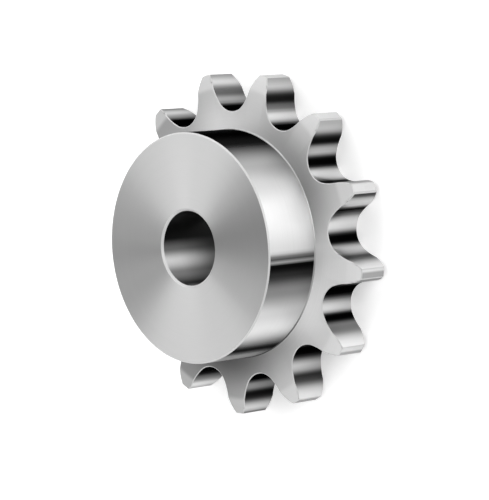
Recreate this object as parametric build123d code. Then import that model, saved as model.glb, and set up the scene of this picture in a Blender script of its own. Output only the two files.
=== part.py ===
"""Roller chain sprocket with a plain bore and a hub on one side, cut from one piece of steel.

The toothed plate lies flat and the hub stands up from it. The origin is on the bore axis, halfway
through the thickness of the teeth, where the middle of the chain runs. +Z points out of the hub's
nose, and one tooth is centred on +X. All sizes are in millimetres, and all angles in degrees.
"""

import os
from math import cos, radians, sin, tan

from build123d import *

# The chain that the teeth carry
chain_pitch = 31.75
roller_diameter = 19.05

# The toothed plate
tooth_count = 13
tooth_width = 17.58
tip_height = 9.53
bevel_height = 6.6
bevel_depth = 2.0
edge_break = 0.3

# The hub and the bore
hub_diameter = 98.0
hub_length = 26.87
nose_chamfer = 0.6
hub_fillet = 0.8
bore_diameter = 31.75
bore_chamfer = 0.9

# The standard tooth form, as shares of the roller's diameter
seat_share = 1.009
flank_share = 0.8
crown_share = 1.4

# Planes, radii and angles that follow from the sizes above
half_step = 180 / tooth_count
plate_top = tooth_width / 2
plate_bottom = -tooth_width / 2
nose = plate_top + hub_length
bore_radius = bore_diameter / 2
hub_radius = hub_diameter / 2
pitch_radius = chain_pitch / 2 / sin(radians(half_step))
tip_radius = chain_pitch / 2 / tan(radians(half_step)) + tip_height
bevel_radius = tip_radius - bevel_height


def gap_outline():
    """The space between two teeth, which opens along +X, as a flat face wider than the rim.

    Each side is a run of tangent lines. A roller rests in the seat, a round bottom a little wider
    than itself, and rolls in down the flank, a large arc and a short straight line. The crown bends
    the other way, over the tooth and out past the rim.
    """
    seat_end = 35 + 60 / tooth_count
    flank_turn = 18 - 56 / tooth_count
    flank_lean = seat_end - flank_turn
    crown_lean = 17 - 64 / tooth_count

    seat_radius = seat_share * roller_diameter / 2
    flank_offset = flank_share * roller_diameter
    flank_radius = seat_radius + flank_offset
    crown_offset = crown_share * roller_diameter
    straight_length = crown_offset * sin(radians(crown_lean)) - flank_offset * sin(radians(flank_turn))
    crown_reach = crown_offset * cos(radians(crown_lean)) + flank_offset * cos(radians(flank_turn))

    seat = JernArc((pitch_radius - seat_radius, 0), (0, 1), seat_radius, seat_end - 90)
    flank = JernArc(seat @ 1, seat % 1, flank_radius, -flank_turn)
    straight = Line(flank @ 1, flank @ 1 + straight_length * (flank % 1))
    crown = JernArc(straight @ 1, straight % 1, crown_reach - flank_radius, 90 - flank_lean)
    outside = tip_radius + roller_diameter
    far_side = Polyline(crown @ 1, (outside, (crown @ 1).Y), (outside, 0), seat @ 0)
    half = make_face([seat, flank, straight, crown, far_side])
    return half + mirror(half, Plane.XZ)


def gap_cutter():
    """The cutter for one space between two teeth, flared where it leaves each face of the plate."""
    outline = gap_outline()
    flare = extrude(Pos(0, 0, plate_top - edge_break) * outline, 2 * edge_break, taper=-45)
    return extrude(outline, nose, both=True) + flare + mirror(flare, Plane.XY)


def turned_blank():
    """The lathe work: the bore, hub, plate and bevelled rim, as a half section spun about the bore."""
    section = make_face(
        Polyline(
            (bore_radius, plate_bottom + bore_chamfer),
            (bore_radius + bore_chamfer, plate_bottom),
            (bevel_radius, plate_bottom),
            (tip_radius, plate_bottom + bevel_depth),
            (tip_radius, plate_top - bevel_depth),
            (bevel_radius, plate_top),
            (hub_radius, plate_top),
            (hub_radius, nose - nose_chamfer),
            (hub_radius - nose_chamfer, nose),
            (bore_radius + bore_chamfer, nose),
            (bore_radius, nose - bore_chamfer),
            close=True,
        )
    )
    root_of_hub = section.vertices().sort_by_distance((hub_radius, plate_top))[0]
    return revolve(Plane.XZ * fillet(root_of_hub, hub_fillet), Axis.Z)


def with_teeth(blank):
    """The blank with the spaces between its teeth cut out, one step of the chain apart."""
    cutter = gap_cutter()
    return blank - [Rot(0, 0, half_step * (2 * step + 1)) * cutter for step in range(tooth_count)]


sprocket = with_teeth(turned_blank())

os.makedirs("parts", exist_ok=True)
export_step(sprocket, "parts/sprocket.step")
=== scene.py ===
"""A chain sprocket of turned steel, lying on its back face in a plain pale studio.

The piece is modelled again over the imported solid, with the same sizes, so that its edges and its lathe
marks can be finished finely. Lengths are in metres and angles in degrees unless a name says otherwise.
"""

import logging
import math
from dataclasses import dataclass
from enum import Enum

import bmesh
import bpy
from mathutils import Matrix, Vector

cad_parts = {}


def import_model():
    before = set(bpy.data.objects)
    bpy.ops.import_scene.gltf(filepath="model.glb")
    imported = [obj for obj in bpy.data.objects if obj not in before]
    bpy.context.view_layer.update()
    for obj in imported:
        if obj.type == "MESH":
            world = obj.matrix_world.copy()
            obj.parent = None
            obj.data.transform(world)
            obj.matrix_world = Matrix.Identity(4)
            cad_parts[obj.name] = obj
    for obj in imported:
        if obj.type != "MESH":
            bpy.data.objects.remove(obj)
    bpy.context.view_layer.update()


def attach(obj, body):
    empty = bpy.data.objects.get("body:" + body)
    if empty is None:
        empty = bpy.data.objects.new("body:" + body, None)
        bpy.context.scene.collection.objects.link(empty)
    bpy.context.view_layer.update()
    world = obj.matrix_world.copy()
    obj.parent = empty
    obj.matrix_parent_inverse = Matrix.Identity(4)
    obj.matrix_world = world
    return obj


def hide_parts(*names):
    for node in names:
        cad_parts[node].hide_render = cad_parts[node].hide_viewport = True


MM = 0.001
SAME_PLACE = 0.001 * MM
LOG = logging.getLogger("sprocket")


class Surface(Enum):
    """The kinds of surface that the maker's tools leave, in the order of the material slots."""

    FACED = 0
    PLATE = 1
    TURNED = 2
    BORED = 3
    TOOTHED = 4
    TIP = 5
    BROKEN_EDGE = 6


# Shader maths


class Wire:
    """One output socket of a shader, on which Python's operators add Math nodes."""

    def __init__(self, sheet: "Sheet", socket: bpy.types.NodeSocket) -> None:
        """Keeps the sheet that the socket belongs to.

        Args:
            sheet: The sheet that new nodes go on.
            socket: The output socket.
        """
        self.sheet = sheet
        self.socket = socket

    def __add__(self, other: "Wire | float") -> "Wire":
        """The sum."""
        return self.sheet.maths("ADD", self, other)

    def __radd__(self, other: float) -> "Wire":
        """The sum, with the number first."""
        return self.sheet.maths("ADD", other, self)

    def __sub__(self, other: "Wire | float") -> "Wire":
        """The difference."""
        return self.sheet.maths("SUBTRACT", self, other)

    def __rsub__(self, other: float) -> "Wire":
        """The difference, with the number first."""
        return self.sheet.maths("SUBTRACT", other, self)

    def __mul__(self, other: "Wire | float") -> "Wire":
        """The product."""
        return self.sheet.maths("MULTIPLY", self, other)

    def __rmul__(self, other: float) -> "Wire":
        """The product, with the number first."""
        return self.sheet.maths("MULTIPLY", other, self)

    def __truediv__(self, other: "Wire | float") -> "Wire":
        """The quotient."""
        return self.sheet.maths("DIVIDE", self, other)

    def __rtruediv__(self, other: float) -> "Wire":
        """The quotient, with the number first."""
        return self.sheet.maths("DIVIDE", other, self)

    def __pow__(self, other: "Wire | float") -> "Wire":
        """The power."""
        return self.sheet.maths("POWER", self, other)

    def clipped(self) -> "Wire":
        """The value held between 0 and 1."""
        return self.sheet.node("ShaderNodeClamp", {}, {"Value": self}, "Result")


class Sheet:
    """The node tree of one material."""

    def __init__(self, name: str) -> None:
        """Starts a new material with only its output.

        Args:
            name: The material's name.
        """
        self.material = bpy.data.materials.new(name)
        self.material.use_nodes = True
        self.tree = self.material.node_tree
        self.tree.nodes.clear()

    def node(self, kind: str, settings: dict, inputs: dict, output: str | int = 0) -> Wire | None:
        """Adds a node, sets it up and links it.

        Args:
            kind: The node's type.
            settings: Values of the node's own properties, set first. Of a ramp, "stops" fills it and
                "interpolation" says how it goes from stop to stop.
            inputs: Values or wires of its sockets, by name or number.
            output: The output socket that is wanted.

        Returns:
            The wire from that output, or nothing from a node that has no outputs.
        """
        made = self.tree.nodes.new(kind)
        for name, value in settings.items():
            if name == "stops":
                self.fill_ramp(made.color_ramp, value)
            elif name == "interpolation":
                made.color_ramp.interpolation = value
            else:
                setattr(made, name, value)
        for name, value in inputs.items():
            if isinstance(value, Wire):
                self.tree.links.new(value.socket, made.inputs[name])
            else:
                made.inputs[name].default_value = value
        return Wire(self, made.outputs[output]) if made.outputs else None

    @staticmethod
    def fill_ramp(ramp: bpy.types.ColorRamp, stops: list[tuple[float, float]]) -> None:
        """Puts grey stops on a ramp.

        Args:
            ramp: The ramp, which starts with two stops.
            stops: The place of each stop and its linear grey, in rising order.
        """
        while len(ramp.elements) < len(stops):
            ramp.elements.new(0.5)
        for element, (place, grey) in zip(ramp.elements, stops):
            element.position = place
            element.color = (grey, grey, grey, 1.0)

    def maths(self, operation: str, *values: Wire | float) -> Wire:
        """Adds a Math node.

        Args:
            operation: What it works out.
            values: Its numbers or wires, in order.

        Returns:
            The wire that carries the result.
        """
        return self.node("ShaderNodeMath", {"operation": operation}, dict(enumerate(values)))

    def parts(self, output: str) -> tuple[Wire, Wire, Wire]:
        """Takes one of the piece's own coordinates apart.

        Args:
            output: "Object" for the point's place, or "Normal" for the way the surface faces.

        Returns:
            Its X, Y and Z.
        """
        whole = self.node("ShaderNodeTexCoord", {}, {}, output)
        x, y, z = (self.node("ShaderNodeSeparateXYZ", {}, {"Vector": whole}, axis) for axis in "XYZ")
        return x, y, z

    def place(self) -> tuple[Wire, Wire, Wire]:
        """The point's X, Y and Z on the piece, in metres."""
        return self.parts("Object")

    def facing(self) -> tuple[Wire, Wire, Wire]:
        """The X, Y and Z of the way the surface faces."""
        return self.parts("Normal")

    def around(self, x: Wire, y: Wire) -> Wire:
        """The turn from +X to a direction, from 0 to 1.

        Args:
            x: The direction's part along X.
            y: Its part along Y.

        Returns:
            The share of a full turn.
        """
        return self.maths("FRACT", self.maths("ARCTAN2", y, x) / math.tau + 1.0)

    def azimuth(self, x: Wire, y: Wire) -> Wire:
        """The turn from +X to a direction, in degrees from -180 to 180."""
        return self.maths("ARCTAN2", y, x) * math.degrees(1)

    def wrapped(self, angle: Wire, most: float) -> Wire:
        """The angle brought in between minus and plus a limit, in steps of twice the limit."""
        return self.maths("WRAP", angle, most, -most)

    def length(self, x: Wire, y: Wire) -> Wire:
        """The length of two parts at a right angle."""
        return self.maths("SQRT", x * x + y * y)

    def ramp(self, along: Wire, stops: list[tuple[float, float]], ease: str = "B_SPLINE") -> Wire:
        """A grey that changes along a value.

        Args:
            along: The value, from 0 to 1.
            stops: The place of each stop and its linear grey.
            ease: How the ramp goes from stop to stop.

        Returns:
            The wire that carries the grey.
        """
        return self.node("ShaderNodeValToRGB", {"stops": stops, "interpolation": ease}, {"Fac": along})

    def step(self, value: Wire, low: float, high: float) -> Wire:
        """A smooth step.

        Args:
            value: The value that it goes along.
            low: The value up to which the step is 0.
            high: The value from which it is 1.

        Returns:
            The wire that carries the step.
        """
        inputs = {"Value": value, "From Min": low, "From Max": high}
        return self.node("ShaderNodeMapRange", {"interpolation_type": "SMOOTHSTEP"}, inputs)

    def soft_turn(self, x: Wire, y: Wire, tones: dict[float, float], lap: float = 60.0) -> Wire:
        """A tone that changes softly round the bore axis, with no seam where the turn closes.

        Args:
            x: The point's X.
            y: The point's Y.
            tones: The screen tone at each azimuth, in degrees from 0 up to 360.
            lap: How far the ramp runs on past each end of the turn, in degrees.

        Returns:
            The wire that carries the linear grey.
        """
        whole = 360.0 + 2 * lap
        stops = [
            ((azimuth + turn + lap) / whole, linear(tone))
            for turn in (-360, 0, 360)
            for azimuth, tone in sorted(tones.items())
            if -lap <= azimuth + turn <= 360.0 + lap
        ]
        return self.ramp(self.around(x, y) * (360.0 / whole) + lap / whole, stops)

    def hard_turn(self, x: Wire, y: Wire, tones: dict[float, float]) -> Wire:
        """A tone that changes round the bore axis and keeps its narrow bands.

        Args:
            x: The point's X.
            y: The point's Y.
            tones: The screen tone at each azimuth, in degrees from 0 to 360, the same at both ends.

        Returns:
            The wire that carries the linear grey.
        """
        stops = [(azimuth / 360, linear(tone)) for azimuth, tone in sorted(tones.items())]
        return self.ramp(self.around(x, y), stops, "EASE")

    def grain(self, along: Wire, per_metre: float, detail: float = 3.0) -> Wire:
        """Uneven lines across one direction, from 0 to 1.

        Args:
            along: The distance along that direction, in metres.
            per_metre: How many lines there are in a metre.
            detail: How many finer layers the lines have.

        Returns:
            The wire that carries the lines.
        """
        inputs = {"W": along * per_metre, "Scale": 1.0, "Detail": detail}
        return self.node("ShaderNodeTexNoise", {"noise_dimensions": "1D"}, inputs)

    def cloud(self, size: float) -> Wire:
        """Soft patches, from 0 to 1.

        Args:
            size: About how far it is from one patch to the next.

        Returns:
            The wire that carries the patches.
        """
        place = self.node("ShaderNodeTexCoord", {}, {}, "Object")
        return self.node("ShaderNodeTexNoise", {}, {"Vector": place, "Scale": 1.0 / size, "Detail": 2.0})


def linear(tone: float) -> float:
    """The linear grey of a screen tone from 0 to 255."""
    share = tone / 255
    return share / 12.92 if share <= 0.04045 else ((share + 0.055) / 1.055) ** 2.4


# Finishes, with their painted reflections and shade


@dataclass(frozen=True)
class Steel:
    """Bright machined steel, drawn with the marks of the tool that cut it.

    Attributes:
        name: The material's name.
        roughness: How rough it is between the marks.
        stretch: How far its highlights stretch across the marks, from 0 to 1.
        marks: How many marks there are in a metre.
        depth: The depth of the marks.
        metallic: How metallic it is, from 0 to 1.
        edge_tint: The grey of its reflections where it is seen from the side.
        specular: The strength of the reflections that its other part adds.
        broad_marks: How many broad marks there are for each fine one.
        fine_share: The part of the fine marks in the two together.
        patch_size: The size of the soft patches in the tone.
        mark_contrast: How far the marks change the tone.
        patch_contrast: How far the patches change it.
        mark_roughness: How far the marks change the roughness.
        patch_roughness: How far the patches change it.
        bump: The strength of the marks in the way the surface faces.
        stretch_turn: Which way the highlights stretch, as a share of a turn.
    """

    name: str
    roughness: float
    stretch: float
    marks: float = 2600.0
    depth: float = 0.02 * MM
    metallic: float = 1.0
    edge_tint: float = 1.0
    specular: float = 0.5
    broad_marks: float = 0.13
    fine_share: float = 0.65
    patch_size: float = 30.0 * MM
    mark_contrast: float = 0.12
    patch_contrast: float = 0.05
    mark_roughness: float = 0.10
    patch_roughness: float = 0.06
    bump: float = 0.35
    stretch_turn: float = 0.25

    def shade(
        self, sheet: Sheet, tone: Wire, along: Wire, metallic: Wire | float | None = None
    ) -> bpy.types.Material:
        """Adds the metal's shader.

        Args:
            sheet: The material's sheet.
            tone: The linear grey of the surface.
            along: The distance across the tool's marks, in metres.
            metallic: How metallic it is, where that differs from place to place.

        Returns:
            The finished material.
        """
        fine = sheet.grain(along, self.marks)
        broad = sheet.grain(along, self.marks * self.broad_marks, detail=2.0)
        patches = sheet.cloud(self.patch_size)
        lines = fine * self.fine_share + broad * (1.0 - self.fine_share)
        grey = tone * (1.0 - self.mark_contrast / 2 + self.mark_contrast * lines)
        grey = grey * (1.0 - self.patch_contrast / 2 + self.patch_contrast * patches)
        colour = sheet.node("ShaderNodeCombineColor", {}, {"Red": grey, "Green": grey, "Blue": grey})
        roughness = self.roughness + self.mark_roughness * (lines - 0.5)
        roughness = roughness + self.patch_roughness * (patches - 0.5)
        relief = {"Strength": self.bump, "Distance": self.depth, "Height": lines}
        bump = sheet.node("ShaderNodeBump", {}, relief)
        metal = sheet.node(
            "ShaderNodeBsdfPrincipled",
            {},
            {
                "Base Color": colour,
                "Metallic": self.metallic if metallic is None else metallic,
                "Roughness": roughness,
                "Anisotropic": self.stretch,
                "Anisotropic Rotation": self.stretch_turn,
                "Specular IOR Level": self.specular,
                "Specular Tint": (self.edge_tint, self.edge_tint, self.edge_tint, 1.0),
                "Normal": bump,
            },
        )
        sheet.node("ShaderNodeOutputMaterial", {}, {"Surface": metal})
        return sheet.material


@dataclass(frozen=True)
class FacedSteel(Steel):
    """The hub's nose and the back, cut square to the bore, with rings that throw two fans of light and
    painted reflections that draw the fans in their tone.
    """

    def material(self) -> bpy.types.Material:
        """Draws the surface.

        Returns:
            The finished material.
        """
        sheet = Sheet(self.name)
        x, y, _ = sheet.place()
        # The tones are painted reflections: two light fans and darker wedges, over the real fans of the
        # stretched highlights.
        tones = {
            0: 180, 20: 110, 40: 165, 55: 150, 90: 190, 115: 190, 150: 150, 180: 180, 195: 145, 215: 165,
            240: 150, 280: 200, 330: 150, 345: 175,
        }
        return self.shade(sheet, sheet.soft_turn(x, y, tones), sheet.length(x, y))


@dataclass(frozen=True)
class PlateSteel(Steel):
    """The front of the plate round the hub, finished more softly than the nose, with painted reflections, a
    painted shadow of the hub and painted highlights on the bevels.

    Attributes:
        bevel_radius: The radius at which the bevels of the teeth begin.
        inner: The radius up to which the tones round the hub hold.
        outer: The radius from which the tones of the teeth hold.
        bevel_before: How far inside its radius the bevel's tone starts.
        bevel_after: How far outside its radius the bevel's tone is full.
        bevel_highlight_tone: The screen tone that the bevels are drawn towards.
        bevel_highlight_share: How far they are drawn towards it, from 0 to 1.
    """

    bevel_radius: float = 0.0
    inner: float = 50.0 * MM
    outer: float = 67.0 * MM
    bevel_before: float = 1.6 * MM
    bevel_after: float = 1.0 * MM
    bevel_highlight_tone: float = 222.0
    bevel_highlight_share: float = 0.36

    def material(self) -> bpy.types.Material:
        """Draws the surface.

        Returns:
            The finished material.
        """
        sheet = Sheet(self.name)
        x, y, _ = sheet.place()
        # The tones are painted reflections, with a painted shadow of the hub, darkest towards 250 to 285
        # degrees.
        inner_painted_tones = {
            0: 240, 20: 135, 45: 125, 75: 175, 105: 225, 130: 110, 170: 185, 215: 210, 250: 80, 285: 50,
            320: 190, 345: 250,
        }
        outer_painted_tones = {
            0: 230, 30: 155, 55: 190, 105: 190, 140: 100, 180: 195, 220: 145, 250: 120, 280: 150, 305: 190,
            330: 190,
        }
        tone = sheet.soft_turn(x, y, inner_painted_tones)
        radius = sheet.length(x, y)
        outward = sheet.step(radius, self.inner, self.outer)
        tone = tone + outward * (sheet.soft_turn(x, y, outer_painted_tones) - tone)
        # The bevels are drawn towards a lighter tone, as a painted highlight.
        bevel_start = self.bevel_radius - self.bevel_before
        on_bevel = sheet.step(radius, bevel_start, self.bevel_radius + self.bevel_after)
        tone = tone + self.bevel_highlight_share * on_bevel * (linear(self.bevel_highlight_tone) - tone)
        return self.shade(sheet, tone, radius)


@dataclass(frozen=True)
class TurnedSteel(Steel):
    """The outside of the hub, with painted reflections in light and dark bands along the bore's axis, and a
    root painted light with painted shade on one side.

    Attributes:
        root: The height at which the hub's wall goes over into its root.
        root_below: How far below that height the root's tone is full.
        root_above: How far above it the root's tone ends.
        painted_root_tone: The screen tone of the root where it is light.
        shade_azimuth: The azimuth, in degrees, round which the root is dark.
        dark_from: The cosine of the angle from there at which it starts to darken.
        dark_to: The cosine of the angle at which it is darkest.
        painted_shade_share: How far it darkens there, from 0 to 1.
        dull_gain: The number that a tone is multiplied by to tell how far it is from black.
    """

    root: float = 0.0
    root_below: float = 0.25 * MM
    root_above: float = 0.05 * MM
    painted_root_tone: float = 190.0
    shade_azimuth: float = -80.0
    dark_from: float = 0.45
    dark_to: float = 0.8
    painted_shade_share: float = 0.8
    dull_gain: float = 8.0

    def material(self) -> bpy.types.Material:
        """Draws the surface.

        Returns:
            The finished material.
        """
        sheet = Sheet(self.name)
        x, y, z = sheet.place()
        # The tones are painted reflections: light and dark bands round the hub.
        tones = {
            0: 15, 1.5: 15, 3: 165, 4.5: 65, 8: 220, 26: 250, 42: 220, 54: 180, 72: 40, 84: 5, 94: 15,
            125: 225, 150: 240, 180: 30, 212: 240, 240: 225, 268: 60, 280: 170, 298: 175, 308: 40, 325: 245,
            336: 220, 348: 140, 356: 50, 360: 15,
        }
        tone = sheet.hard_turn(x, y, tones)
        # The root is painted light, with painted shade on one side.
        dark = math.radians(self.shade_azimuth)
        toward = (x * math.cos(dark) + y * math.sin(dark)) / sheet.length(x, y)
        at_root = 1.0 - sheet.step(z, self.root - self.root_below, self.root + self.root_above)
        in_shade = sheet.step(toward, self.dark_from, self.dark_to)
        painted_root_tone = linear(self.painted_root_tone) * (1.0 - self.painted_shade_share * in_shade)
        # The painted dark reflection bands are all metal, so that they stay black under the lamps
        metallic = 1.0 - (1.0 - self.metallic) * (tone * self.dull_gain).clipped()
        return self.shade(sheet, tone + at_root * (painted_root_tone - tone), z, metallic)


@dataclass(frozen=True)
class BoredSteel(Steel):
    """The wall of the bore, with painted reflections round it, darkened down from the nose by painted shade.

    Attributes:
        nose: The height of the hub's nose.
        length: The length of the bore.
        painted_shade_share: How far the wall darkens at the bottom, from 0 to 1.
        dark_from: The share of the length at which it starts to darken.
        dark_to: The share of the length at which it is darkest.
    """

    nose: float = 0.0
    length: float = 1.0
    painted_shade_share: float = 0.6
    dark_from: float = 0.35
    dark_to: float = 0.8

    def material(self) -> bpy.types.Material:
        """Draws the surface.

        Returns:
            The finished material.
        """
        sheet = Sheet(self.name)
        x, y, z = sheet.place()
        # The tones are painted reflections: a bright streak and black bands round the bore.
        tones = {
            0: 235, 30: 255, 55: 235, 80: 110, 105: 5, 175: 5, 192: 125, 210: 255, 232: 145, 262: 20,
            280: 100, 310: 200, 335: 225, 360: 235,
        }
        # The wall darkens with depth as painted shade.
        deep = sheet.step((self.nose - z) / self.length, self.dark_from, self.dark_to)
        return self.shade(sheet, sheet.hard_turn(x, y, tones) * (1.0 - self.painted_shade_share * deep), z)


@dataclass(frozen=True)
class ToothedSteel(Steel):
    """The cut walls between the teeth, painted with reflections: dark bands in the seats and up the flanks,
    and light crowns.

    The bands lie where the walls face one way or the other, so the tones are worked out from the azimuth
    that the wall faces. They shift with the azimuth of the space, as the photographed ones do.

    Attributes:
        tooth_step: The angle from one tooth to the next, in degrees.
        cutter_marks: How far a degree of the wall counts, in metres across the cutter's marks.
        contrast: The power that the share of light is raised to, to make the linear grey.
        seat_out: The radii between which the middle band of the seat fades.
        crown_out: The radii between which the two side bands of the seat fade.
        line_radius: The radius of the dark line at the top of the flank.
        line_inside: The half width of the line on the side of the seat.
        line_outside: The half width of the line on the side of the crown.
        line_out: The radii between which the one goes over into the other.
        tip_out: The radii between which the dark edge of the crown comes in.
    """

    tooth_step: float = 360.0 / 13
    cutter_marks: float = 0.2 * MM
    contrast: float = 2.2
    seat_out: tuple[float, float] = (61.0 * MM, 65.0 * MM)
    crown_out: tuple[float, float] = (63.5 * MM, 67.0 * MM)
    line_radius: float = 65.4 * MM
    line_inside: float = 2.2 * MM
    line_outside: float = 3.6 * MM
    line_out: tuple[float, float] = (64.8 * MM, 67.2 * MM)
    tip_out: tuple[float, float] = (69.0 * MM, 74.0 * MM)

    def gap_azimuth(self, sheet: Sheet, x: Wire, y: Wire) -> Wire:
        """The azimuth of the middle of the space that a point of the walls belongs to.

        Args:
            sheet: The material's sheet.
            x: The point's X.
            y: The point's Y.

        Returns:
            The azimuth in degrees, the same all over one space.
        """
        half = self.tooth_step / 2
        turned = sheet.maths("WRAP", sheet.azimuth(x, y), 180.0 - half, -180.0 - half)
        return (sheet.maths("FLOOR", turned / self.tooth_step) + 0.5) * self.tooth_step

    @staticmethod
    def band(sheet: Sheet, facing: Wire, middle: Wire | float, half_width: Wire | float) -> Wire:
        """A dark band that comes back on the far side.

        Args:
            sheet: The material's sheet.
            facing: The azimuth that the wall faces, in degrees.
            middle: The azimuth at the band's middle.
            half_width: How far it is to its edge.

        Returns:
            1 in the band, falling to 0 beside it.
        """
        off = sheet.wrapped(facing - middle, 90.0) / half_width
        square = off * off
        return 1.0 / (1.0 + square * square)

    def seat(self, sheet: Sheet, facing: Wire, gap: Wire, radius: Wire) -> Wire:
        """The light that the three painted dark reflection bands of the seat leave.

        Args:
            sheet: The material's sheet.
            facing: The azimuth that the wall faces, in degrees.
            gap: The azimuth of the middle of the space.
            radius: The point's distance from the bore axis.

        Returns:
            The share of light, from 0 to 1.
        """
        # How much the space counts as one of each side, from 0 to 1, by its azimuth
        right = ((gap + 20.0) / 40.0).clipped()
        left = ((-40.0 - gap) / 50.0).clipped()
        front = ((70.0 - gap) / 30.0).clipped()
        beside = (1.0 - sheet.maths("ABSOLUTE", gap - 27.0) / 27.0).clipped()
        # The middle and the half width of each band, in degrees
        lower = self.band(sheet, facing, -30.0 - 34.0 * right - 28.0 * left, 27.5 - 7.0 * right)
        middle = self.band(sheet, facing, 31.0 - 0.4 * gap + 2.0 * beside, 12.5 + 9.0 * beside)
        upper = self.band(sheet, facing, 68.5 + 26.0 * front, 21.5 - 5.0 * front)
        below_crown = 1.0 - sheet.step(radius, *self.crown_out)
        in_seat = 1.0 - sheet.step(radius, *self.seat_out)
        sides = (1.0 - 0.9 * lower * below_crown) * (1.0 - (0.9 - 0.1 * front) * upper * below_crown)
        return sides * (1.0 - 0.94 * middle * in_seat)

    def flank(self, sheet: Sheet, facing: Wire, radius: Wire) -> Wire:
        """The dark line at the top of the flank, a painted reflection which only the walls that face one way
        have.

        Args:
            sheet: The material's sheet.
            facing: The azimuth that the wall faces, in degrees.
            radius: The point's distance from the bore axis.

        Returns:
            How dark it is, from 0 to 1.
        """
        wider = self.line_outside - self.line_inside
        off = (radius - self.line_radius) / (self.line_inside + wider * sheet.step(radius, *self.line_out))
        # The walls that face the front have all of it, and those that face away from there less and less
        depth = 0.88 * sheet.step(facing, -50.0, -20.0) - 0.4 * sheet.step(facing, 5.0, 50.0)
        depth = depth - 0.48 * sheet.step(facing, 130.0, 170.0)
        return depth / (1.0 + (off * off) ** 1.5)

    def crown(self, sheet: Sheet, facing: Wire, gap: Wire, radius: Wire) -> Wire:
        """The painted shade that darkens the crown towards the tip.

        Args:
            sheet: The material's sheet.
            facing: The azimuth that the wall faces, in degrees.
            gap: The azimuth of the middle of the space.
            radius: The point's distance from the bore axis.

        Returns:
            How dark it is, from 0 to 1.
        """
        # How far round from +X the space lies, and how far the wall is turned to one side, from 0 to 1
        away = ((sheet.maths("ABSOLUTE", gap) - 20.0) / 60.0).clipped()
        side = (0.5 + sheet.wrapped(gap - facing, 180.0) / 90.0).clipped()
        dark = 0.04 + 0.24 * side + 0.12 * away + 0.45 * self.band(sheet, facing, -30.0, 6.0)
        return dark * sheet.step(radius, *self.tip_out)

    def material(self) -> bpy.types.Material:
        """Draws the surface.

        Returns:
            The finished material.
        """
        sheet = Sheet(self.name)
        x, y, _ = sheet.place()
        across, ahead, _ = sheet.facing()
        radius = sheet.length(x, y)
        facing = sheet.azimuth(across, ahead)
        gap = self.gap_azimuth(sheet, x, y)
        # The seat's bands, the flank's line and the crown's darkening are painted reflections and painted
        # shade.
        light = self.seat(sheet, facing, gap, radius) * (1.0 - self.flank(sheet, facing, radius))
        light = (light * (1.0 - self.crown(sheet, facing, gap, radius))).clipped()
        return self.shade(sheet, light**self.contrast, facing * self.cutter_marks)


@dataclass(frozen=True)
class TipSteel(Steel):
    """The flat tips of the teeth, darkened towards one edge by painted shade.

    Attributes:
        tooth_step: The angle from one tooth to the next, in degrees.
        turn: The angle over which one tooth's tones go over into the next one's.
        tone: The screen tone of the light part.
        edge_width: The angle over which the dark part goes over into the light one.
    """

    tooth_step: float = 360.0 / 13
    turn: float = 27.7
    tone: float = 206.0
    edge_width: float = 0.7

    def material(self) -> bpy.types.Material:
        """Draws the surface.

        Returns:
            The finished material.
        """
        sheet = Sheet(self.name)
        x, y, z = sheet.place()
        azimuth = sheet.azimuth(x, y)
        off = sheet.wrapped(azimuth, self.tooth_step / 2)
        tooth = azimuth - off
        # How far round from +X the tooth lies, from 0 to 1: one tooth to either side, and further on
        left = (tooth / self.turn).clipped()
        right = (tooth / -self.turn).clipped()
        lower = ((tooth + self.turn) / -self.turn).clipped()
        upper = ((tooth - 2 * self.turn) / self.turn).clipped()
        # The painted shade ends at an angle from the tooth's middle, and its depth differs from tooth to
        # tooth
        edge = 0.6 - 1.9 * left - 0.8 * right + 3.0 * lower
        dark = 1.0 - ((off - edge) / self.edge_width + 0.5).clipped()
        light = linear(self.tone) * (1.0 - 0.3 * upper) * (1.0 - (0.48 + 0.3 * lower) * dark)
        return self.shade(sheet, light, z)


@dataclass(frozen=True)
class PlainSteel(Steel):
    """The narrow broken edges and chamfers, which catch the light and are lighter in soft patches."""

    tone: float = 215.0
    glint_size: float = 20.0 * MM
    glint: float = 0.1

    def material(self) -> bpy.types.Material:
        """Draws the surface.

        Returns:
            The finished material.
        """
        sheet = Sheet(self.name)
        _, _, z = sheet.place()
        return self.shade(sheet, sheet.cloud(self.glint_size) * self.glint + linear(self.tone), z)


# Modelling


def deselect_all() -> None:
    """Leaves nothing selected, in object mode."""
    if bpy.context.object and bpy.context.object.mode != "OBJECT":
        bpy.ops.object.mode_set(mode="OBJECT")
    bpy.ops.object.select_all(action="DESELECT")


def make_active(piece: bpy.types.Object) -> None:
    """Selects one object alone and makes it active.

    Args:
        piece: The object.
    """
    deselect_all()
    piece.select_set(True)
    bpy.context.view_layer.objects.active = piece


def keep_transform() -> None:
    """Puts the active object's place, turn and size into its mesh."""
    bpy.ops.object.transform_apply(location=True, rotation=True, scale=True)


def join_points(reach: float = SAME_PLACE) -> None:
    """Joins the points of the mesh in edit mode that lie nearly in one place.

    Args:
        reach: How far apart two points may lie and still be joined.
    """
    bpy.ops.mesh.select_all(action="SELECT")
    bpy.ops.mesh.remove_doubles(threshold=reach)


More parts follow.
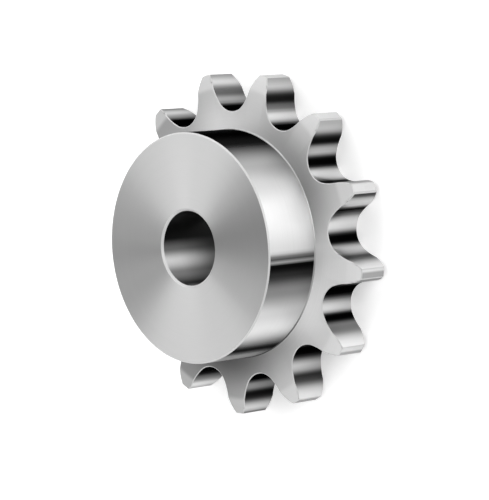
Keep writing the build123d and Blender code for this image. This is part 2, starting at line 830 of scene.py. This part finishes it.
@dataclass
class ToothGap:
    """The cutter for one space between two teeth, in the standard form for roller chain.

    The space opens along +X. Each side is a run of tangent lines: the seat, a round bottom a little wider
    than the roller; the flank, a large arc; a short straight line; and the crown, which bends away over
    the tooth. The shares are parts of the roller's diameter, and the steps are the straight pieces that
    each arc is drawn with.
    """

    pitch: float = 31.75 * MM
    roller: float = 19.05 * MM
    teeth: int = 13
    tip_radius: float = 0.0
    low: float = 0.0
    high: float = 0.0
    seat_share: float = 1.009
    flank_share: float = 0.8
    crown_share: float = 1.4
    seat_steps: int = 22
    flank_steps: int = 6
    crown_steps: int = 14

    @property
    def pitch_radius(self) -> float:
        """The radius on which the rollers' centres lie."""
        return self.pitch / 2 / math.sin(math.pi / self.teeth)

    def draw_side(self) -> None:
        """Draws one side of the space from its root out past the rim, in edit mode from a single point."""
        # The standard's angles, which depend on nothing but the number of teeth
        heading = math.radians(35 + 60 / self.teeth)
        turn = math.radians(18 - 56 / self.teeth)
        lean = math.radians(17 - 64 / self.teeth)
        seat_radius = self.seat_share * self.roller / 2
        flank_offset = self.flank_share * self.roller
        flank_radius = seat_radius + flank_offset
        crown_offset = self.crown_share * self.roller
        straight = crown_offset * math.sin(lean) - flank_offset * math.sin(turn)
        crown_radius = crown_offset * math.cos(lean) + flank_offset * math.cos(turn) - flank_radius

        seat_middle = Vector((self.pitch_radius, 0, self.low))
        inward = Vector((math.sin(heading), -math.cos(heading), 0))
        seat_end = seat_middle - inward * seat_radius
        flank_middle = seat_end + inward * flank_radius
        later = heading - turn
        inward = Vector((math.sin(later), -math.cos(later), 0))
        flank_end = flank_middle - inward * flank_radius
        straight_end = flank_end + Vector((math.cos(later), math.sin(later), 0)) * straight
        crown_middle = straight_end - inward * crown_radius
        crown_end = crown_middle + Vector((crown_radius, 0, 0))
        outside = self.tip_radius + self.roller

        self.sweep(seat_middle, math.pi / 2 - heading, self.seat_steps, seat_end)
        self.sweep(flank_middle, turn, self.flank_steps, flank_end)
        self.draw_to(straight_end)
        self.sweep(crown_middle, later - math.pi / 2, self.crown_steps, crown_end)
        self.draw_to(Vector((outside, crown_end.y, self.low)))
        self.draw_to(Vector((outside, 0, self.low)))

    def build(self) -> bpy.types.Object:
        """Makes the cutter.

        Returns:
            The cutter, a closed bar that reaches past both faces of the plate.
        """
        root = Vector((self.pitch_radius - self.seat_share * self.roller / 2, 0, self.low))
        deselect_all()
        # A tiny square, drawn together to the one point that the outline starts from
        bpy.ops.mesh.primitive_plane_add(size=MM, location=root)
        bpy.ops.object.mode_set(mode="EDIT")
        bpy.ops.mesh.merge(type="CENTER")
        self.draw_side()
        bpy.ops.mesh.select_all(action="SELECT")
        bpy.ops.mesh.duplicate()
        bpy.ops.transform.resize(value=(1, -1, 1), center_override=(0, 0, 0))
        join_points()
        bpy.ops.mesh.edge_face_add()
        bpy.ops.mesh.extrude_region_move(TRANSFORM_OT_translate={"value": (0, 0, self.high - self.low)})
        bpy.ops.mesh.select_all(action="SELECT")
        bpy.ops.mesh.normals_make_consistent(inside=False)
        bpy.ops.object.mode_set(mode="OBJECT")
        keep_transform()
        cutter = bpy.context.object
        cutter.name = "tooth_gap_cutter"
        return cutter

    def sweep(self, middle: Vector, turn: float, steps: int, end: Vector) -> None:
        """Draws an arc from the selected point and leaves its end selected.

        Args:
            middle: The arc's middle.
            turn: How far it turns, in radians, clockwise seen from above.
            steps: The number of straight pieces in it.
            end: Where it should end.

        Raises:
            ValueError: If it ends elsewhere.
        """
        bpy.ops.mesh.spin(steps=steps, angle=turn, center=middle, axis=(0, 0, 1))
        miss = (self.pen() - end).length
        if miss > 10 * SAME_PLACE:
            raise ValueError(f"an arc ends {miss / MM:.3f} mm from its place")

    def draw_to(self, end: Vector) -> None:
        """Draws a straight line from the selected point, and leaves its end selected.

        Args:
            end: Where it ends.
        """
        bpy.ops.mesh.extrude_region_move(TRANSFORM_OT_translate={"value": end - self.pen()})

    @staticmethod
    def pen() -> Vector:
        """Finds the selected point, from which the outline is drawn on.

        Returns:
            Its place.
        """
        drawn = bpy.context.object
        point = next(p for p in bmesh.from_edit_mesh(drawn.data).verts if p.select)
        return drawn.matrix_world @ point.co


@dataclass
class Sprocket:
    """The whole sprocket: bore, hub, plate and teeth, cut from one piece of steel."""

    tooth_count: int = 13
    tooth_width: float = 17.58 * MM
    tip_height: float = 9.53 * MM
    bevel_height: float = 6.6 * MM
    bevel_depth: float = 2.0 * MM
    edge_break: float = 0.35 * MM
    hub_radius: float = 49.0 * MM
    hub_length: float = 26.87 * MM
    nose_chamfer: float = 0.6 * MM
    hub_fillet: float = 0.8 * MM
    bore_radius: float = 15.875 * MM
    bore_chamfer: float = 0.9 * MM
    chain_pitch: float = 31.75 * MM
    # How the mesh is made: slivers that the cuts leave, of less than the given width, are closed
    points_round: int = 351
    cutter_reach: float = 4.0 * MM
    sliver: float = 0.005 * MM
    # How faces are told apart: the least part along Z in the way that a level face or a chamfer looks,
    # and how far inside the tips' radius a face of a tip may lie
    level_part: float = 0.8
    slope_part: float = 0.6
    tip_slack: float = 0.02 * MM
    # How edges are told apart, in degrees: faces that meet at less are shaded as one
    smooth_angle: float = 32.0
    sharp_angle: float = 50.0
    break_steps: int = 2

    @property
    def plate_top(self) -> float:
        """The height of the plate's front face."""
        return self.tooth_width / 2

    @property
    def plate_bottom(self) -> float:
        """The height of the back face, on which the sprocket lies."""
        return -self.tooth_width / 2

    @property
    def nose(self) -> float:
        """The height of the hub's nose."""
        return self.plate_top + self.hub_length

    @property
    def tip_radius(self) -> float:
        """The radius of the tips of the teeth."""
        return self.chain_pitch / 2 / math.tan(math.pi / self.tooth_count) + self.tip_height

    @property
    def bevel_radius(self) -> float:
        """The radius at which the bevels of the teeth begin."""
        return self.tip_radius - self.bevel_height

    @property
    def gap(self) -> ToothGap:
        """The space between two teeth."""
        return ToothGap(
            pitch=self.chain_pitch,
            teeth=self.tooth_count,
            tip_radius=self.tip_radius,
            low=self.plate_bottom - self.cutter_reach,
            high=self.plate_top + self.cutter_reach,
        )

    def profile(self) -> list[tuple[float, float]]:
        """Draws half of the lathe work's section.

        Returns:
            The radius and the height of each ring, from the back face round the outside to the bore.
        """
        mouth = self.bore_radius + self.bore_chamfer
        # The round at the hub's root, in steps of 15 degrees
        root = [
            (
                self.hub_radius + self.hub_fillet * (1 - math.sin(angle)),
                self.plate_top + self.hub_fillet * (1 - math.cos(angle)),
            )
            for angle in map(math.radians, range(0, 91, 15))
        ]
        return [
            (mouth, self.plate_bottom),
            (self.bevel_radius, self.plate_bottom),
            (self.tip_radius, self.plate_bottom + self.bevel_depth),
            (self.tip_radius, self.plate_top - self.bevel_depth),
            (self.bevel_radius, self.plate_top),
            *root,
            (self.hub_radius, self.nose - self.nose_chamfer),
            (self.hub_radius - self.nose_chamfer, self.nose),
            (mouth, self.nose),
            (self.bore_radius, self.nose - self.bore_chamfer),
            (self.bore_radius, self.plate_bottom + self.bore_chamfer),
        ]

    def turn_blank(self) -> bpy.types.Object:
        """Makes the lathe work: one ring, extruded from place to place along the profile.

        Returns:
            The closed blank, with its place in its mesh.
        """
        rings = self.profile()
        radius, height = rings[0]
        deselect_all()
        bpy.ops.mesh.primitive_circle_add(vertices=self.points_round, radius=radius, location=(0, 0, height))
        keep_transform()
        bpy.ops.object.mode_set(mode="EDIT")
        bpy.ops.mesh.select_all(action="SELECT")
        for (radius, height), (next_radius, next_height) in zip(rings, rings[1:] + rings[:1]):
            bpy.ops.mesh.extrude_region_move(TRANSFORM_OT_translate={"value": (0, 0, next_height - height)})
            share = next_radius / radius
            bpy.ops.transform.resize(value=(share, share, 1), center_override=(0, 0, 0))
        join_points()
        bpy.ops.mesh.normals_make_consistent(inside=False)
        bpy.ops.object.mode_set(mode="OBJECT")
        return bpy.context.object

    def cut_teeth(self, blank: bpy.types.Object) -> None:
        """Cuts the spaces between the teeth out of the blank, one step of the chain apart.

        Args:
            blank: The lathe work.
        """
        cutter = self.gap.build()
        step = math.tau / self.tooth_count
        for number in range(self.tooth_count):
            make_active(cutter)
            turn = step / 2 if number == 0 else step
            bpy.ops.transform.rotate(value=turn, orient_axis="Z", center_override=(0, 0, 0))
            keep_transform()
            make_active(blank)
            cut = blank.modifiers.new("gap", "BOOLEAN")
            cut.operation = "DIFFERENCE"
            cut.solver = "EXACT"
            cut.object = cutter
            bpy.ops.object.modifier_apply(modifier=cut.name)
        bpy.data.objects.remove(cutter)
        make_active(blank)
        bpy.ops.object.mode_set(mode="EDIT")
        join_points(self.sliver)
        bpy.ops.object.mode_set(mode="OBJECT")

    def surface_of(self, centre: Vector, normal: Vector) -> Surface:
        """Tells which tool made a face.

        Args:
            centre: The middle of the face.
            normal: The way it faces.

        Returns:
            The kind of surface.
        """
        radius = math.hypot(centre.x, centre.y)
        if abs(normal.z) > self.level_part:
            return Surface.PLATE if self.hub_radius < radius and normal.z > 0 else Surface.FACED
        if abs(normal.z) > self.slope_part and radius < self.hub_radius:
            return Surface.BROKEN_EDGE
        if radius < self.bore_radius + self.bore_chamfer:
            return Surface.BORED
        if radius < self.hub_radius + self.hub_fillet:
            return Surface.TURNED
        return Surface.TIP if radius > self.tip_radius - self.tip_slack else Surface.TOOTHED

    def break_edges(self, piece: bpy.types.Object) -> None:
        """Rounds the sharp edges a little and keeps the faces beside them flat.

        Args:
            piece: The cut sprocket.
        """
        make_active(piece)
        bpy.ops.object.shade_smooth_by_angle(angle=math.radians(self.smooth_angle))
        broken = piece.modifiers.new("broken_edges", "BEVEL")
        broken.width = self.edge_break
        broken.segments = self.break_steps
        broken.limit_method = "ANGLE"
        broken.angle_limit = math.radians(self.sharp_angle)
        broken.use_clamp_overlap = False
        broken.harden_normals = True
        broken.material = Surface.BROKEN_EDGE.value
        bpy.ops.object.modifier_apply(modifier=broken.name)

    def dress(self, piece: bpy.types.Object) -> None:
        """Gives each face the finish of the tool that cut it, with the painted reflections and shade of its
        material.

        Args:
            piece: The cut sprocket, before its edges are broken.
        """
        tooth_step = 360.0 / self.tooth_count
        finishes = {
            Surface.FACED: FacedSteel("faced_steel", roughness=0.45, stretch=0.9),
            Surface.PLATE: PlateSteel(
                "plate_steel", roughness=0.55, stretch=0.3, metallic=0.35, bevel_radius=self.bevel_radius
            ),
            Surface.TURNED: TurnedSteel(
                "turned_steel",
                roughness=0.48,
                stretch=0.5,
                metallic=0.72,
                edge_tint=0.1,
                specular=0.1,
                root=self.plate_top + self.hub_fillet,
            ),
            Surface.BORED: BoredSteel(
                "bored_steel",
                roughness=0.35,
                stretch=0.5,
                marks=2200.0,
                metallic=0.05,
                edge_tint=0.3,
                nose=self.nose,
                length=self.nose - self.plate_bottom,
            ),
            Surface.TOOTHED: ToothedSteel(
                "toothed_steel",
                roughness=0.3,
                stretch=0.4,
                marks=4000.0,
                edge_tint=0.3,
                tooth_step=tooth_step,
            ),
            Surface.TIP: TipSteel("tip_steel", roughness=0.3, stretch=0.5, tooth_step=tooth_step),
            Surface.BROKEN_EDGE: PlainSteel(
                "edge_steel", roughness=0.55, stretch=0.3, depth=0.01 * MM, metallic=0.3, tone=198.0
            ),
        }
        piece.data.materials.clear()
        for surface in Surface:
            piece.data.materials.append(finishes[surface].material())
        for face in piece.data.polygons:
            face.material_index = self.surface_of(face.center, face.normal).value

    def build(self) -> bpy.types.Object:
        """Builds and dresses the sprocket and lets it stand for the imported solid.

        Returns:
            The finished piece.
        """
        piece = self.turn_blank()
        piece.name = "steel_sprocket"
        piece.data.name = "steel_sprocket"
        self.cut_teeth(piece)
        self.dress(piece)
        self.break_edges(piece)
        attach(piece, "root")
        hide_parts("sprocket")
        LOG.info("%s: %d faces", piece.name, len(piece.data.polygons))
        return piece


# The studio


def direction(azimuth: float, elevation: float) -> Vector:
    """Points from the object to an azimuth and an elevation.

    Args:
        azimuth: The turn from +X, in degrees.
        elevation: The angle above the floor's plane, in degrees.

    Returns:
        The unit vector.
    """
    turn, rise = math.radians(azimuth), math.radians(elevation)
    return Vector((math.cos(rise) * math.cos(turn), math.cos(rise) * math.sin(turn), math.sin(rise)))


@dataclass(frozen=True)
class Lamp:
    """One soft lamp that points at the object, with its size across and up and its power in watts."""

    name: str
    azimuth: float
    elevation: float
    size: tuple[float, float]
    power: float
    distance: float = 1.6

    def hang(self) -> None:
        """Hangs the lamp in its place and turns it to the object."""
        out = direction(self.azimuth, self.elevation)
        deselect_all()
        bpy.ops.object.light_add(type="AREA", location=out * self.distance)
        lamp = bpy.context.object
        lamp.name = self.name
        lamp.data.shape = "RECTANGLE"
        lamp.data.size, lamp.data.size_y = self.size
        lamp.data.energy = self.power
        lamp.rotation_euler = out.to_track_quat("Z", "Y").to_euler()


@dataclass
class Studio:
    """A plain pale floor, soft lamps and the camera."""

    # The floor lies just under the back face, and glows a little where the camera or a reflection sees it
    floor_height: float = -8.8 * MM
    floor_size: float = 12.0
    floor_grey: float = 0.82
    floor_glow: float = 0.36
    world_strength: float = 0.3
    lamps: tuple[Lamp, ...] = (
        Lamp("key_lamp", 148, 40, (2.8, 1.2), 12.0),
        Lamp("fill_lamp", -124, 40, (2.8, 1.2), 10.0),
        Lamp("front_lamp", 31, 32, (0.8, 0.8), 11.0),
        Lamp("left_lamp", 112, 48, (1.2, 1.2), 8.0),
        Lamp("right_lamp", -85, 45, (1.2, 1.2), 6.0),
    )
    # The camera, as seen from the object, with its lens and sensor in millimetres
    azimuth: float = 14.484
    elevation: float = 43.826
    roll: float = -96.165
    distance: float = 1.118076
    aim: tuple[float, float, float] = (-0.506 * MM, -3.487 * MM, 1.419 * MM)
    lens: float = 186.678
    sensor: float = 36.0
    nearest: float = 50.0 * MM

    def lay_floor(self) -> None:
        """Lays the floor under the back face."""
        deselect_all()
        bpy.ops.mesh.primitive_plane_add(size=self.floor_size, location=(0, 0, self.floor_height))
        keep_transform()
        floor = bpy.context.object
        floor.name = "floor"
        sheet = Sheet("floor_paper")
        rays = [
            sheet.node("ShaderNodeLightPath", {}, {}, name)
            for name in ("Is Camera Ray", "Is Glossy Ray", "Is Transmission Ray")
        ]
        seen = (rays[0] + rays[1] + rays[2]).clipped()
        grey = self.floor_grey
        paper = sheet.node("ShaderNodeBsdfDiffuse", {}, {"Color": (grey, grey, grey, 1)})
        light = {"Color": (1, 1, 1, 1), "Strength": seen * self.floor_glow}
        glow = sheet.node("ShaderNodeEmission", {}, light)
        both = sheet.node("ShaderNodeAddShader", {}, {0: paper, 1: glow})
        sheet.node("ShaderNodeOutputMaterial", {}, {"Surface": both})
        floor.data.materials.append(sheet.material)

    def light(self) -> None:
        """Sets a pale even world and hangs the lamps."""
        world = bpy.data.worlds.new("studio")
        bpy.context.scene.world = world
        world.use_nodes = True
        back = next(n for n in world.node_tree.nodes if n.type == "BACKGROUND")
        back.inputs["Color"].default_value = (1, 1, 1, 1)
        back.inputs["Strength"].default_value = self.world_strength
        for lamp in self.lamps:
            lamp.hang()

    def set_camera(self) -> None:
        """Puts the camera where the photograph was taken from."""
        out = direction(self.azimuth, self.elevation)
        level = (-out).cross(Vector((0, 0, 1))).normalized()
        right = Matrix.Rotation(math.radians(self.roll), 3, out) @ level
        up = out.cross(right)
        deselect_all()
        bpy.ops.object.camera_add()
        camera = bpy.context.object
        camera.name = "photo_camera"
        axes = Matrix((right, up, out)).transposed()
        camera.matrix_world = Matrix.Translation(Vector(self.aim) + out * self.distance) @ axes.to_4x4()
        camera.data.sensor_width = self.sensor
        camera.data.lens = self.lens
        camera.data.clip_start = self.nearest
        bpy.context.scene.camera = camera


def main() -> None:
    """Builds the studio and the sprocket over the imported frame."""
    logging.basicConfig(level=logging.INFO, format="%(name)s: %(message)s")
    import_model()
    bpy.context.scene.view_settings.view_transform = "Standard"
    studio = Studio()
    studio.set_camera()
    studio.lay_floor()
    studio.light()
    LOG.info("studio: floor, lamps and camera")
    Sprocket().build()


if __name__ == "__main__":
    main()
